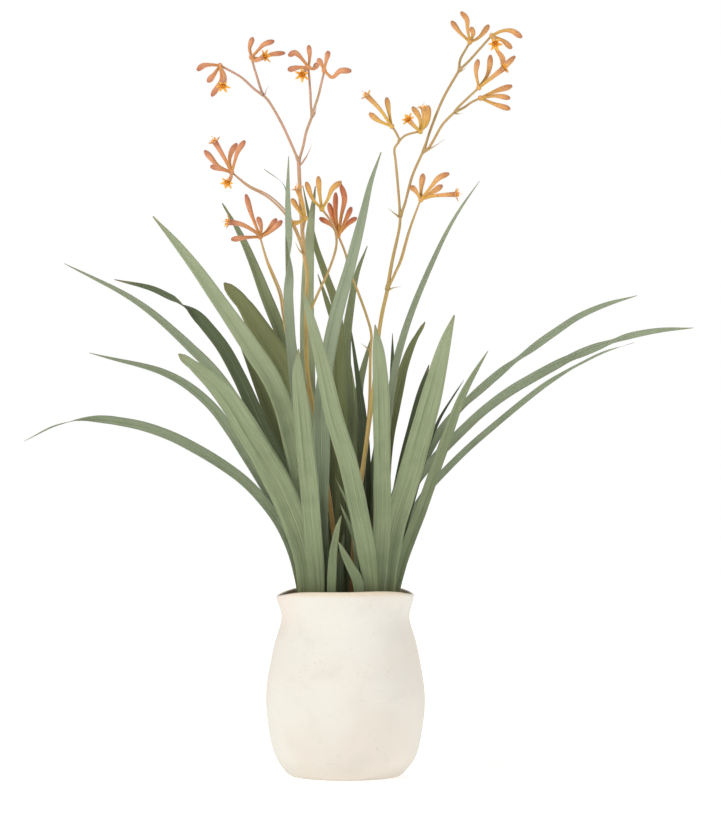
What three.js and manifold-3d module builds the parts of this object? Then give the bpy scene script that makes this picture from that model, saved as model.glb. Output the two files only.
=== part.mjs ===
// A kangaroo paw (Anigozanthos) growing in a rounded clay pot.
// Millimetres, +Z up. The origin is the middle of the pot's underside, and the plant's show side faces -Y.
import * as THREE from 'three';
import { mergeVertices } from 'three/addons/utils/BufferGeometryUtils.js';
import Module from 'manifold-3d';

const wasm = await Module();
wasm.setup();

// ---- Driving dimensions

const gap = 0.4; // clearance between pieces that touch

const pot = {
  height: 181,
  footRadius: 54,
  wall: 5,
  floor: 8,
  sides: 40,
  // the outside from the foot up to the lip: radius, height
  outside: [[54, 0], [61, 6], [71.5, 24], [78, 60], [77.5, 92], [70, 130], [63.5, 156], [68.5, 178]],
};
const soil = { top: 157, sides: 28 };
const crown = { top: 164, topRadius: 49, skirtRadius: 50.5, sides: 24 };

// Heights in the tables of leaves, stems and flowers are counted from this far under the pot's foot.
const below = 6;
const plantFoot = crown.top + gap + below;

// Leaves fan out from the crown to the front and the back: one that starts at depth y reaches depth
// y * (1 + (r / reach) ^ power) at a distance r from the crown, so that no leaf passes through the next.
const fan = { reach: 160, power: 1.2 };
const blade = {
  extraSteps: 5,
  footThickness: 1.9,
  tipThickness: 0.7,
  footShare: 0.62,
  tipShare: 0.06,
  rise: 0.3,
  fullness: 0.72,
  turnPerStep: 50, // degrees of twist that call for one more ring
  crowd: 0.0035, // how strongly the rings crowd together, for each degree of twist
};

const stem = { sides: 5, base: 2.4, mid: 1.9, branch: 1.35, twig: 1.1, bract: 1.6, point: 0.4 };
const floret = {
  sides: 5,
  steps: 4,
  knob: 3.1,
  bud: [1.0, 1.8, 2.7, 2.9, 1.0],
  open: [1.0, 1.7, 2.4, 2.8, 5.2],
};

// ---- Materials

const materials = {
  clay: new THREE.MeshStandardMaterial({ color: 0xefe9de, roughness: 0.85, metalness: 0 }),
  soil: new THREE.MeshStandardMaterial({ color: 0x2c2219, roughness: 1, metalness: 0 }),
  crown: new THREE.MeshStandardMaterial({ color: 0x5d5a34, roughness: 0.9, metalness: 0 }),
  leaf: new THREE.MeshStandardMaterial({ color: 0x98a47e, roughness: 0.7, metalness: 0 }),
  stem: new THREE.MeshStandardMaterial({ color: 0xb08a4e, roughness: 0.8, metalness: 0 }),
  flower: new THREE.MeshStandardMaterial({ color: 0xd98a48, roughness: 0.85, metalness: 0 }),
};

// ---- Leaves
// depth is how far a leaf's foot stands behind the middle, or in front of it where it is negative,
// and lean is how much further than its neighbours it falls that way.
// path is the midrib from the foot to the tip, as x and height. point is how late the blade narrows:
// low for a long fine tip, high for a blunt one. face turns the blade about the upright, in degrees.
// twist is where a blade turns over, from and to a share of its length, and by how many degrees.

const leaves = {
  leaf_left_1: {
    depth: -15, wide: 10.5, point: 5, face: -6, twist: [0.74, 0.9, 84],
    path: [[-42, 170], [-45, 195], [-59, 245], [-89, 288], [-119, 313], [-177, 345], [-216, 356], [-253, 359],
      [-283, 353], [-315, 337]],
  },
  leaf_left_2: {
    depth: 1, wide: 11, point: 3.6, face: 8, twist: [0.4, 1, 40],
    path: [[-39, 170], [-50, 225], [-73, 280], [-110, 340], [-130, 369], [-150, 387], [-180, 404],
      [-257, 427]],
  },
  leaf_left_3: {
    depth: 12, wide: 11.5, point: 3.4, face: 10, twist: [0.5, 0.7, 36],
    path: [[-35, 170], [-46, 240], [-80, 328], [-112, 382], [-135, 412], [-167, 442], [-193, 464],
      [-234, 492], [-288, 521]],
  },
  leaf_left_4: {
    depth: -4, wide: 16, point: 3.6, face: -10, twist: [0.74, 0.88, 150],
    path: [[-34, 170], [-40, 235], [-50, 287], [-70, 325], [-90, 368], [-110, 411], [-130, 442], [-160, 470],
      [-195, 490], [-230, 499]],
  },
  leaf_left_5: {
    depth: -24.5, wide: 21, point: 3.2, face: -4, twist: [0.3, 1, 14],
    path: [[-28, 170], [-36, 240], [-47, 319], [-68, 389], [-97, 436], [-135, 491], [-154, 517], [-185, 553]],
  },
  leaf_left_6: {
    depth: -30, wide: 25, point: 5, face: -8, twist: [0.4, 1, 10],
    path: [[-36, 170], [-39, 225], [-58, 280], [-77, 317], [-97, 350], [-125, 388], [-144, 407], [-161, 421]],
  },
  leaf_left_7: {
    depth: 7, wide: 24, point: 5, face: 10, twist: [0.4, 1, 12],
    path: [[-26, 170], [-36, 280], [-47, 360], [-58, 401], [-86, 449], [-101, 474], [-123, 499]],
  },
  leaf_left_8: {
    depth: 19, wide: 17, point: 3, face: 12, twist: [0.4, 1, 16],
    path: [[-21, 170], [-31, 280], [-46, 380], [-61, 433], [-84, 493], [-106, 547], [-128, 586]],
  },
  leaf_upright_1: {
    depth: -13, wide: 11, point: 5, face: -8, twist: [0.68, 0.86, 165],
    path: [[-27, 170], [-34, 250], [-42, 330], [-49, 390], [-53, 428], [-56, 477], [-55, 506], [-55, 530],
      [-56.5, 569], [-55.5, 617]],
  },
  leaf_upright_2: {
    depth: 14, wide: 6.5, point: 4, face: 14, twist: [0.7, 1, 60],
    path: [[-17, 170], [-28, 280], [-44, 380], [-56, 460], [-60, 540], [-61.5, 590], [-66, 608], [-74, 615],
      [-84, 619]],
  },
  leaf_upright_3: {
    depth: 6, wide: 12, point: 3.2, face: 10, twist: [0.5, 1, 20],
    path: [[-10, 170], [-6, 290], [-4, 400], [-9, 471], [-20, 506], [-32, 542], [-40, 582], [-43.5, 598]],
  },
  leaf_upright_4: {
    depth: -2.5, wide: 17, point: 4, face: -4, twist: [0.3, 1, 12],
    path: [[-16, 170], [-26, 260], [-35, 350], [-38, 430], [-38, 490], [-35, 550], [-30, 593]],
  },
  leaf_upright_5: {
    depth: -20, wide: 17, point: 3, face: 6, twist: [0.4, 1, 18],
    path: [[-19, 170], [-25, 250], [-23.5, 320], [-23, 378], [-16, 427], [-7.5, 466], [2.5, 500], [16, 552],
      [26.5, 594], [35, 617]],
  },
  leaf_upright_6: {
    depth: 11, wide: 13.5, point: 3.4, face: -12, twist: [0.4, 1, 14],
    path: [[5, 170], [6, 280], [3, 381], [0, 432], [8, 493], [15, 523], [22, 538]],
  },
  leaf_upright_7: {
    depth: 13, wide: 8.5, point: 3, face: 16, twist: [0.4, 1, -30],
    path: [[29, 170], [36, 300], [44, 370], [51.5, 420], [62.5, 458], [77, 496], [109, 564], [137, 606]],
  },
  leaf_front_1: {
    depth: -38.5, wide: 18, point: 7, face: -5, twist: [0.3, 1, 8],
    path: [[-26, 170], [-28, 211], [-31, 241], [-35.5, 300], [-41, 358], [-45.5, 409], [-44.5, 425]],
  },
  leaf_front_2: {
    depth: -41, wide: 19, point: 4, face: 5, twist: [0.3, 1, -10],
    path: [[27, 170], [22, 221], [13, 270], [2.5, 317], [-11, 362], [-21.5, 410], [-33.5, 456], [-40, 480]],
  },
  leaf_front_3: {
    depth: -33.5, wide: 17.5, point: 9, face: 7, twist: [0.3, 1, 8],
    path: [[32, 170], [34, 221], [36, 260], [36, 300], [35, 377], [33, 416], [29, 449]],
  },
  leaf_front_4: {
    depth: -27, wide: 24, point: 4.5, face: 10, twist: [0.3, 1, -12],
    path: [[38, 170], [42.5, 226], [49.5, 262], [63, 305], [75.5, 349], [87, 392], [96.5, 430], [106, 459]],
  },
  leaf_front_5: {
    depth: -21, wide: 16, point: 5, face: 12, twist: [0.3, 1, -10],
    path: [[40, 170], [45, 230], [53, 283], [64, 334], [74, 380], [82, 412]],
  },
  leaf_right_1: {
    depth: -11, wide: 12, point: 4.5, face: 8, twist: [0.4, 1, 24],
    path: [[46, 170], [56, 218], [75, 270], [93, 321], [114, 379], [124, 399], [141, 427]],
  },
  leaf_right_2: {
    depth: -6, wide: 5.5, point: 3, face: 10, twist: [0.4, 1, 20],
    path: [[43, 170], [55, 235], [70, 290], [84, 337], [94, 361], [118, 399]],
  },
  leaf_right_3: {
    depth: 0, wide: 7, point: 4, face: 0, twist: [0.7, 0.84, 62],
    path: [[42, 170], [50, 232], [69, 270], [80, 287], [118, 327], [150, 355], [206, 399], [260, 428],
      [289, 437]],
  },
  leaf_right_4: {
    depth: 4.5, wide: 9.5, point: 8, face: 0, twist: [0.6, 0.9, 20],
    path: [[40, 170], [47, 230], [60, 275], [71, 299], [101, 333], [151, 379], [205, 411], [255, 432],
      [305, 448], [351, 453]],
  },
  leaf_right_5: {
    depth: 9, wide: 8.5, point: 9, face: 4, twist: [0.5, 0.9, 24],
    path: [[37, 170], [46, 240], [62, 290], [75, 313], [101, 356], [151, 404], [172, 420], [204, 441],
      [252, 472], [296, 487]],
  },
  leaf_right_6: {
    depth: 16, wide: 14, point: 3.6, face: -10, twist: [0.4, 1, 14],
    path: [[25, 170], [36, 290], [44.5, 356], [49.5, 376], [59, 414], [66, 434], [81, 461]],
  },
  leaf_back_1: {
    depth: 18, wide: 10, point: 3, face: 10, twist: [0.4, 1, 30],
    path: [[14, 170], [20, 280], [18, 353], [13, 397], [4, 462]],
  },
  leaf_back_2: {
    depth: 24, wide: 12, point: 4, face: -14, twist: [0.4, 1, 12],
    path: [[18, 170], [16, 300], [14, 394], [18, 414], [27, 449]],
  },
  leaf_back_3: {
    depth: 27, wide: 8.5, point: 4, face: -16, twist: [0.4, 1, 24],
    path: [[34, 170], [40, 280], [46.5, 372], [48, 434], [48, 451]],
  },
  leaf_back_4: {
    depth: 21, wide: 16, point: 3.4, face: 14, twist: [0.4, 1, 20],
    path: [[-6, 170], [-6, 300], [-8, 400], [-12, 466], [-20, 484], [-29, 512]],
  },
  leaf_back_5: {
    depth: 33, lean: 1.7, wide: 19, point: 3.6, face: 16, twist: [0.3, 1, 20],
    path: [[-26, 170], [-34, 260], [-46, 350], [-58, 424]],
  },
  leaf_back_6: {
    depth: 36, lean: 1.9, wide: 20, point: 3.4, face: -8, twist: [0.3, 1, 22],
    path: [[6, 170], [10, 280], [6, 360], [2, 436]],
  },
  leaf_back_7: {
    depth: 40, lean: 1.8, wide: 18, point: 3.6, face: -18, twist: [0.3, 1, 20],
    path: [[20, 170], [28, 260], [36, 330], [41, 396]],
  },
  leaf_young_1: {
    depth: -44, wide: 9, point: 3.6, face: -6, twist: [0.3, 1, 6],
    path: [[-14, 170], [-12.5, 216], [-10.5, 236], [-6.5, 256], [-3.5, 265]],
  },
  leaf_young_2: {
    depth: -29, wide: 5, point: 3, face: 4, twist: [0.3, 1, 10],
    path: [[13, 170], [10, 230], [6, 266], [-4, 290], [-9.5, 301]],
  },
  leaf_young_3: {
    depth: -36, wide: 6.5, point: 3, face: 4, twist: [0.3, 1, 10],
    path: [[22, 170], [18, 213], [9, 243], [3, 258], [-5, 276]],
  },
  leaf_young_4: {
    depth: -46, wide: 11, point: 3, face: 6, twist: [0.3, 1, 6],
    path: [[15, 170], [12, 201], [6, 213], [0, 225], [-6.5, 239]],
  },
  leaf_young_5: {
    depth: -35, wide: 8, point: 3, face: -4, twist: [0.3, 1, 8],
    path: [[-3, 170], [-5, 210], [-3, 232], [-1, 246]],
  },
};

// ---- Flower stems
// Each is a list of shoots that grow into one another: [thickness at the start, at the end, route].

const leftFork = [-46.5, -24, 616];
const leftTop = [-82, -26, 682];
const middleTop = [-33, -24, 661.5];
const rightFork = [41.5, -36, 487];
const rightMiddle = [54.5, -32, 560];
const rightNode = [48.7, -28, 628];
const rightTop = [77.5, -22, 626];
const rightCrest = [113.5, -14.5, 708.5];
const rightArm = [108.8, -34, 664];

const stems = {
  stem_left: [
    [stem.base, stem.mid, [[-3, -8, 170], [-6, -9, 195], [-16, -13, 280], [-30, -17, 360], [-38, -20, 410],
      [-39, -22, 470], [-38, -23, 502], [-41, -24, 524], [-43, -24, 550], [-45, -24, 584], leftFork]],
    [stem.branch, stem.branch, [leftFork, [-52, -24, 629], [-63, -25, 653], [-75, -26, 674], leftTop]],
    [stem.branch, stem.twig, [leftTop, [-90, -29, 687], [-104, -33, 699], [-121, -36, 708]]],
    [stem.branch, stem.twig, [leftTop, [-85, -20, 691], [-90, -16, 707], [-93, -12.5, 717]]],
    [stem.branch, stem.branch, [leftFork, [-42, -24, 631], [-39, -24, 645], middleTop]],
    [stem.branch, stem.twig, [middleTop, [-34.5, -20, 673], [-35, -14, 685], [-36.5, -8, 709]]],
    [stem.branch, stem.twig, [middleTop, [-30, -30, 671], [-26.5, -34, 681], [-21.5, -38, 701]]],
    [stem.branch, stem.twig, [[-41, -24, 524], [-50, -22, 547], [-61, -20, 565], [-77.5, -18, 581],
      [-97, -16, 592], [-110, -15, 602]]],
    [stem.branch, stem.twig, [[-33, -18, 375], [-47, -15, 410], [-58, -13, 440], [-62.5, -12, 464],
      [-66, -11, 485], [-75, -10, 508], [-79, -10, 519], [-84, -11, 538]]],
    [stem.twig, stem.twig, [[-42, -24, 536], [-42, -29, 546], [-40, -33, 555]]],
    [stem.branch, stem.twig, [[-39, -22, 462], [-33, -20, 472], [-26, -17, 488], [-16, -13, 510],
      [-9, -12, 534], [-12, -13, 553], [-21, -14, 566]]],
    [stem.bract, stem.point, [[-46, -24, 610], [-39, -27, 619], [-33, -30, 630]]],
  ],
  stem_right: [
    [stem.base, stem.mid, [[5, -14.5, 170], [7, -17, 210], [10, -21, 260], [20, -27, 330], [28, -31, 390],
      [34, -33, 450], rightFork]],
    [stem.mid, stem.branch, [rightFork, [46, -35, 514], [53, -33, 546], rightMiddle]],
    [stem.branch, stem.twig, [rightFork, [49, -38, 504], [54.5, -40, 517], [63, -42, 546],
      [72.5, -44, 572.5]]],
    [stem.branch, stem.branch, [rightMiddle, [59.5, -30, 575], [66, -26, 600], [74, -23, 619], rightTop]],
    [stem.branch, stem.twig, [rightMiddle, [51.5, -30, 598], [49.8, -29, 616], rightNode, [53.4, -27, 636],
      [51, -27, 643], [48.3, -27, 647.6]]],
    [stem.twig, stem.twig, [[52.6, -27, 635], [58.4, -25, 641], [64, -24, 643.5], [71, -23, 645]]],
    [stem.branch, stem.branch, [rightTop, [79.5, -21, 632], [86.5, -19, 653], [98, -17, 681], rightCrest]],
    [stem.branch, stem.twig, [rightCrest, [114.5, -12, 719], [119.5, -10, 729], [123.5, -9, 735]]],
    [stem.branch, stem.twig, [rightCrest, [117.5, -17, 712], [125, -20, 719], [142.5, -26, 738.5]]],
    [stem.branch, stem.branch, [rightTop, [84, -24, 631], [95, -28, 650], [101.5, -31, 657.5], rightArm]],
    [stem.branch, stem.twig, [rightArm, [113, -36, 669.5], [129, -40, 683.5]]],
    [stem.branch, stem.twig, [rightArm, [117, -33, 668], [125, -30, 674], [131, -29, 677.5]]],
    [stem.bract, stem.point, [[41.5, -36, 485], [47, -38, 488.5], [55, -41, 490]]],
    [stem.bract, stem.point, [[54, -32, 558], [48, -35, 563], [42.5, -38, 568]]],
    [stem.bract, stem.point, [[77.5, -22, 624], [89, -25, 631], [99, -28, 637.5]]],
  ],
  stem_middle: [
    [stem.mid, stem.twig, [[6, 3, 170], [8, 4, 240], [18, 6, 310], [20.5, 7, 338], [24, 9, 377],
      [25, 11, 428], [26, 12, 445], [22, 12, 462], [12, 12, 490], [4, 12, 509], [0, 10, 527],
      [-6, 7.5, 542]]],
    [stem.bract, stem.point, [[25, 11, 427], [21, 9, 432], [15, 7, 437]]],
  ],
};

// ---- Flower clusters
// at is where the florets spring from. Each floret is a route from there to its tip.

const clusters = {
  flowers_left_1: {
    at: [-124, -37, 709.5],
    bud: [
      [[-132, -42, 709.5], [-140, -46, 708], [-146, -48, 703]],
      [[-131, -30, 701], [-137, -26, 695]],
      [[-123, -41, 694], [-132, -44, 678]],
    ],
    open: [[[-119, -47, 697], [-120, -57, 686]]],
  },
  flowers_left_2: {
    at: [-94, -11, 722],
    bud: [
      [[-96, -8, 732], [-93, -6, 743]],
      [[-87, -14, 729], [-81, -18, 734], [-71, -20, 737]],
      [[-84, -6, 722], [-74, 0, 727], [-61, 4, 729]],
    ],
    open: [[[-90, -16, 718], [-80, -25, 721]]],
  },
  flowers_left_3: {
    at: [-37, -7, 712.5],
    bud: [
      [[-36, -3, 724], [-37, 0, 736]],
      [[-43, -10, 720], [-50, -14, 726], [-57, -16, 723]],
      [[-47, -4, 713], [-58, -2, 711]],
      [[-32, -3, 712], [-28, 3, 718]],
    ],
    open: [[[-41, -12, 708], [-43, -20, 703]]],
  },
  flowers_left_4: {
    at: [-21, -39, 704.5],
    bud: [
      [[-19, -42, 713], [-16.5, -44, 723]],
      [[-13, -42, 697], [-5, -44, 703], [6, -45, 703]],
      [[-23, -33, 710], [-27, -26, 718]],
    ],
    open: [],
  },
  flowers_left_5: {
    at: [-113.5, -15, 606],
    bud: [
      [[-127, -11, 613], [-135, -9, 622], [-141, -7, 629]],
      [[-116, -7, 619], [-114, -3, 629], [-109, -1, 637]],
      [[-110, -18, 618], [-107, -20, 627], [-100, -22, 637]],
      [[-122, -21, 608], [-134, -26, 611]],
    ],
    open: [[[-120, -18, 619], [-130, -24, 636]], [[-114, -23, 600], [-117, -30, 594]]],
  },
  flowers_left_6: {
    at: [-85, -12, 542],
    bud: [
      [[-100, -14, 541], [-114, -15, 539]],
      [[-89, -6, 552], [-95, -2, 568], [-100, 1, 586]],
      [[-84, -17, 551], [-87, -21, 561]],
      [[-77, -7, 550], [-69, -3, 561]],
      [[-76, -16, 546], [-63, -22, 557]],
    ],
    open: [[[-91, -20, 547], [-103, -26, 553], [-116, -30, 555]]],
  },
  flowers_left_7: {
    at: [-39.5, -34.5, 558],
    bud: [
      [[-46, -33, 566], [-53, -33, 578]],
      [[-46, -38, 554], [-55, -40, 552]],
    ],
    open: [[[-42, -37, 571], [-47, -39, 587]]],
  },
  flowers_middle_1: {
    at: [-23.5, -15, 569.5],
    bud: [
      [[-33, -19, 580], [-39, -21, 596]],
      [[-26, -17, 587], [-27, -17, 602]],
      [[-18, -19, 578], [-13, -21, 589], [-4, -24, 596]],
    ],
    open: [],
  },
  flowers_middle_2: {
    at: [-7.5, 8, 545.5],
    bud: [
      [[-10, 10, 570], [-10, 12, 589]],
      [[-4, 4, 566], [-1, 1, 582], [-5, -2, 596]],
      [[-12, 13, 560], [-17, 18, 579]],
      [[1, 2, 562], [6, -1, 573]],
      [[3, 12, 558], [11, 16, 564]],
      [[-14, 3, 555], [-26, -2, 562]],
    ],
    open: [],
  },
  flowers_right_1: {
    at: [46, -28, 650.5],
    bud: [
      [[33, -22, 657], [24, -18, 665]],
      [[43.5, -25, 664], [41, -23, 680]],
    ],
    open: [[[34, -33, 667], [21, -37, 680]]],
  },
  flowers_right_2: {
    at: [74.5, -23, 646],
    bud: [
      [[74, -17, 660], [67, -13, 672]],
      [[82, -18, 656], [83, -14, 673]],
    ],
    open: [[[78, -27, 654], [78, -31, 668]], [[68, -29, 651], [62, -38, 656]]],
  },
  flowers_right_3: {
    at: [124.5, -8, 738],
    bud: [
      [[114, -9, 748], [106, -9, 759]],
      [[128, -4, 747], [126, -1, 754]],
      [[122, -15, 750], [121, -19, 759], [115, -21, 766]],
      [[132, -4, 742], [138, -1, 748], [144, 3, 757]],
    ],
    open: [],
  },
  flowers_right_4: {
    at: [145.5, -27, 741],
    bud: [
      [[155, -30, 745], [165, -32, 745], [175, -34, 738]],
      [[157, -21, 737], [166, -17, 730]],
      [[150, -22, 729], [156, -19, 721], [158, -17, 713]],
    ],
    open: [[[147, -35, 736], [148, -44, 730]]],
  },
  flowers_right_5: {
    at: [74.5, -45, 575.5],
    bud: [
      [[75, -40, 588], [77, -37, 602]],
      [[84, -50, 587], [92, -54, 596], [102, -57, 600]],
      [[85, -38, 583], [96, -33, 591]],
      [[69, -49, 584], [64, -52, 588]],
    ],
    open: [[[88, -48, 579], [109, -52, 580]]],
  },
  flowers_right_6: {
    at: [132, -41, 687],
    bud: [
      [[129, -45, 702], [131, -48, 714]],
      [[140, -36, 699], [143, -33, 709], [144, -31, 721]],
      [[145, -40, 697], [156, -38, 707], [168, -36, 719]],
    ],
    open: [[[142, -48, 694], [156, -56, 704]]],
  },
  flowers_right_7: {
    at: [134, -28.5, 678.5],
    bud: [
      [[149, -24, 686], [166, -20, 692]],
      [[149, -33, 680], [163, -38, 677]],
      [[148, -26, 673], [164, -25, 668]],
    ],
    open: [],
  },
};

// ---- Solids

// The back of a four-sided blade is split along the same diagonals as its front, so that the two stay
// apart where it twists. Each cell is six corners: a b d, b c d.
function matchDiagonals(index, steps) {
  for (const side of [1, 3]) {
    for (let step = 0; step < steps; step++) {
      const first = 6 * (side * steps + step);
      const [a, b, d, , c] = index.array.slice(first, first + 5);
      [a, b, c, a, c, d].forEach((corner, i) => index.setX(first + i, corner));
    }
  }
}

// A closed loft: a capped cylinder laid along a route, with half its width and half its depth given
// at each share t of the length, and its flat face turned towards facing(t).
function loft(points, sides, steps, half, facing, place = (t) => t) {
  const route = new THREE.CatmullRomCurve3(points.map((p) => new THREE.Vector3(...p)), false, 'centripetal');
  const rod = new THREE.CylinderGeometry(1, 1, 1, sides, steps);
  if (sides === 4) matchDiagonals(rod.index, steps);
  rod.deleteAttribute('normal');
  rod.deleteAttribute('uv');
  const shape = mergeVertices(rod, 1e-4);
  const spots = shape.getAttribute('position');
  for (let i = 0; i < spots.count; i++) {
    const ring = Math.min(1, Math.max(0, spots.getY(i) + 0.5));
    const t = place(ring);
    const along = route.getTangentAt(t);
    const across = new THREE.Vector3().crossVectors(along, facing(t, along)).normalize();
    const out = new THREE.Vector3().crossVectors(across, along);
    const [wide, deep] = half(t);
    const spot = route.getPointAt(t);
    spot.addScaledVector(across, spots.getX(i) * wide).addScaledVector(out, spots.getZ(i) * deep);
    const height = ring === 0 ? points[0][2] : spot.z; // the foot is cut level
    spots.setXYZ(i, spot.x, spot.y, height);
  }
  return shape;
}

// The axis that a route runs least along, so that a round loft never turns over on the way.
function steadySide(points) {
  const run = new THREE.Vector3(...points.at(-1)).sub(new THREE.Vector3(...points[0]));
  const sides = [new THREE.Vector3(0, -1, 0), new THREE.Vector3(1, 0, 0), new THREE.Vector3(0, 0, 1)];
  return sides.reduce((best, side) => (Math.abs(side.dot(run)) < Math.abs(best.dot(run)) ? side : best));
}

function rounded(points, sides, steps, radius) {
  const side = steadySide(points);
  return loft(points, sides, steps, (t) => [radius(t), radius(t)], () => side);
}

// Reads a value part way along a list of evenly spaced ones.
function between(values, t) {
  const at = t * (values.length - 1);
  const low = Math.min(values.length - 2, Math.floor(at));
  return THREE.MathUtils.lerp(values[low], values[low + 1], at - low);
}

function solidOf(geometry) {
  const bare = mergeVertices(geometry, 1e-4);
  const vertProperties = new Float32Array(bare.getAttribute('position').array);
  const triVerts = new Uint32Array(bare.index.array);
  return new wasm.Manifold(new wasm.Mesh({ numProp: 3, vertProperties, triVerts }));
}

function geometryOf(solid) {
  const mesh = solid.getMesh();
  const shape = new THREE.BufferGeometry();
  shape.setAttribute('position', new THREE.BufferAttribute(mesh.vertProperties, 3));
  shape.setIndex(new THREE.BufferAttribute(mesh.triVerts, 1));
  return shape;
}

function joined(shapes) {
  return geometryOf(shapes.map(solidOf).reduce((whole, shape) => whole.add(shape)));
}

// ---- Pot, soil and crown

// The outside brought in by an amount, from just above a height, as points up the wall.
function wallPoints(inset, bottom) {
  const curve = new THREE.SplineCurve(pot.outside.map(([r, z]) => new THREE.Vector2(r - inset, z)));
  return curve.getPoints(14).filter((p) => p.y > bottom + 3);
}

function makePot() {
  const outside = new THREE.SplineCurve(pot.outside.map(([r, z]) => new THREE.Vector2(r, z))).getPoints(16);
  const inside = wallPoints(pot.wall, pot.floor).reverse();
  const lip = new THREE.Vector2(pot.outside.at(-1)[0] - pot.wall * 0.4, pot.height);
  const floor = [new THREE.Vector2(pot.footRadius, pot.floor), new THREE.Vector2(0, pot.floor)];
  const profile = [new THREE.Vector2(0, 0), ...outside, lip, ...inside, ...floor];
  return new THREE.LatheGeometry(profile, pot.sides);
}

function makeSoil() {
  const bottom = pot.floor + gap;
  const side = wallPoints(pot.wall + gap, bottom).filter((p) => p.y < soil.top);
  const profile = [
    new THREE.Vector2(0, bottom),
    new THREE.Vector2(pot.footRadius - 2, bottom),
    ...side,
    new THREE.Vector2(side.at(-1).x, soil.top),
    new THREE.Vector2(0, soil.top),
  ];
  return new THREE.LatheGeometry(profile, soil.sides);
}

function makeCrown() {
  const profile = [
    new THREE.Vector2(0, soil.top + gap),
    new THREE.Vector2(crown.skirtRadius, soil.top + gap),
    new THREE.Vector2(crown.skirtRadius, crown.top - 2.5),
    new THREE.Vector2(crown.topRadius, crown.top),
    new THREE.Vector2(0, crown.top),
  ];
  return new THREE.LatheGeometry(profile, crown.sides);
}

// A lathe turns about Y; this stands it up on Z.
function upright(geometry) {
  geometry.rotateX(Math.PI / 2);
  geometry.deleteAttribute('normal');
  geometry.deleteAttribute('uv');
  return mergeVertices(geometry, 1e-4);
}

// ---- Plant

// Where a ring stands along a leaf: the rings crowd together where the blade turns over.
function crowded(ring, from, to, crowd) {
  if (ring === 0 || ring === 1) return ring;
  let low = 0;
  let high = 1;
  for (let i = 0; i < 24; i++) {
    const t = (low + high) / 2;
    const passed = (t + crowd * THREE.MathUtils.smoothstep(t, from, to)) / (1 + crowd);
    if (passed < ring) low = t;
    else high = t;
  }
  return (low + high) / 2;
}

function makeLeaf({ depth, lean = 1, wide, point, face, twist, path }) {
  const start = (Math.abs(path[0][0]) / fan.reach) ** fan.power;
  const points = path.map(([x, z]) => {
    const away = (Math.hypot(x, z - crown.top) / fan.reach) ** fan.power;
    return [x, depth * (1 + lean * (away - start)), Math.max(z, plantFoot)];
  });
  const half = (t) => {
    const grown = Math.sin(Math.min(1, t / blade.rise) * Math.PI / 2);
    const swell = THREE.MathUtils.lerp(blade.footShare, 1, grown);
    const narrow = Math.max(blade.tipShare, (1 - t ** point) ** blade.fullness);
    const thick = THREE.MathUtils.lerp(blade.footThickness, blade.tipThickness, t);
    return [wide * swell * narrow / 2, thick / 2];
  };
  const [from, to, degrees] = twist;
  const turn = THREE.MathUtils.degToRad(face);
  const facing = (t, along) => {
    const front = new THREE.Vector3(Math.sin(turn), -Math.cos(turn), 0);
    const over = THREE.MathUtils.degToRad(degrees) * THREE.MathUtils.smoothstep(t, from, to);
    return front.addScaledVector(along, -front.dot(along)).normalize().applyAxisAngle(along, over);
  };
  const steps = path.length + blade.extraSteps + Math.round(Math.abs(degrees) / blade.turnPerStep);
  const crowd = Math.abs(degrees) * blade.crowd;
  return loft(points, 4, steps, half, facing, (ring) => crowded(ring, from, to, crowd));
}

function makeStem(shoots) {
  const pieces = shoots.map(([start, end, route]) => {
    const points = route.map(([x, y, z]) => [x, y, Math.max(z, plantFoot)]);
    return rounded(points, stem.sides, route.length, (t) => THREE.MathUtils.lerp(start, end, t));
  });
  return joined(pieces);
}

function makeCluster({ at, bud, open }) {
  const knob = new THREE.IcosahedronGeometry(floret.knob, 0);
  knob.deleteAttribute('normal');
  knob.deleteAttribute('uv');
  knob.translate(...at);
  const grow = (routes, radii) => routes.map((route) => (
    rounded([at, ...route], floret.sides, floret.steps, (t) => between(radii, t))
  ));
  return joined([knob, ...grow(bud, floret.bud), ...grow(open, floret.open)]);
}

// ---- Assembly

function add(group, name, geometry, material) {
  const piece = new THREE.Mesh(geometry, material);
  piece.name = name;
  group.add(piece);
}

const plant = new THREE.Group();
plant.position.z = -below;
for (const [name, leaf] of Object.entries(leaves)) add(plant, name, makeLeaf(leaf), materials.leaf);
for (const [name, shoots] of Object.entries(stems)) add(plant, name, makeStem(shoots), materials.stem);
for (const [name, cluster] of Object.entries(clusters)) {
  add(plant, name, makeCluster(cluster), materials.flower);
}

const pottedPlant = new THREE.Group();
add(pottedPlant, 'pot', upright(makePot()), materials.clay);
add(pottedPlant, 'soil', upright(makeSoil()), materials.soil);
add(pottedPlant, 'crown', upright(makeCrown()), materials.crown);
pottedPlant.add(plant);

export default pottedPlant;
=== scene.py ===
import bpy
import bmesh
import random
from math import cos, exp, pi, radians, sin, sqrt, tau
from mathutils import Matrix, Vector, noise


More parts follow.
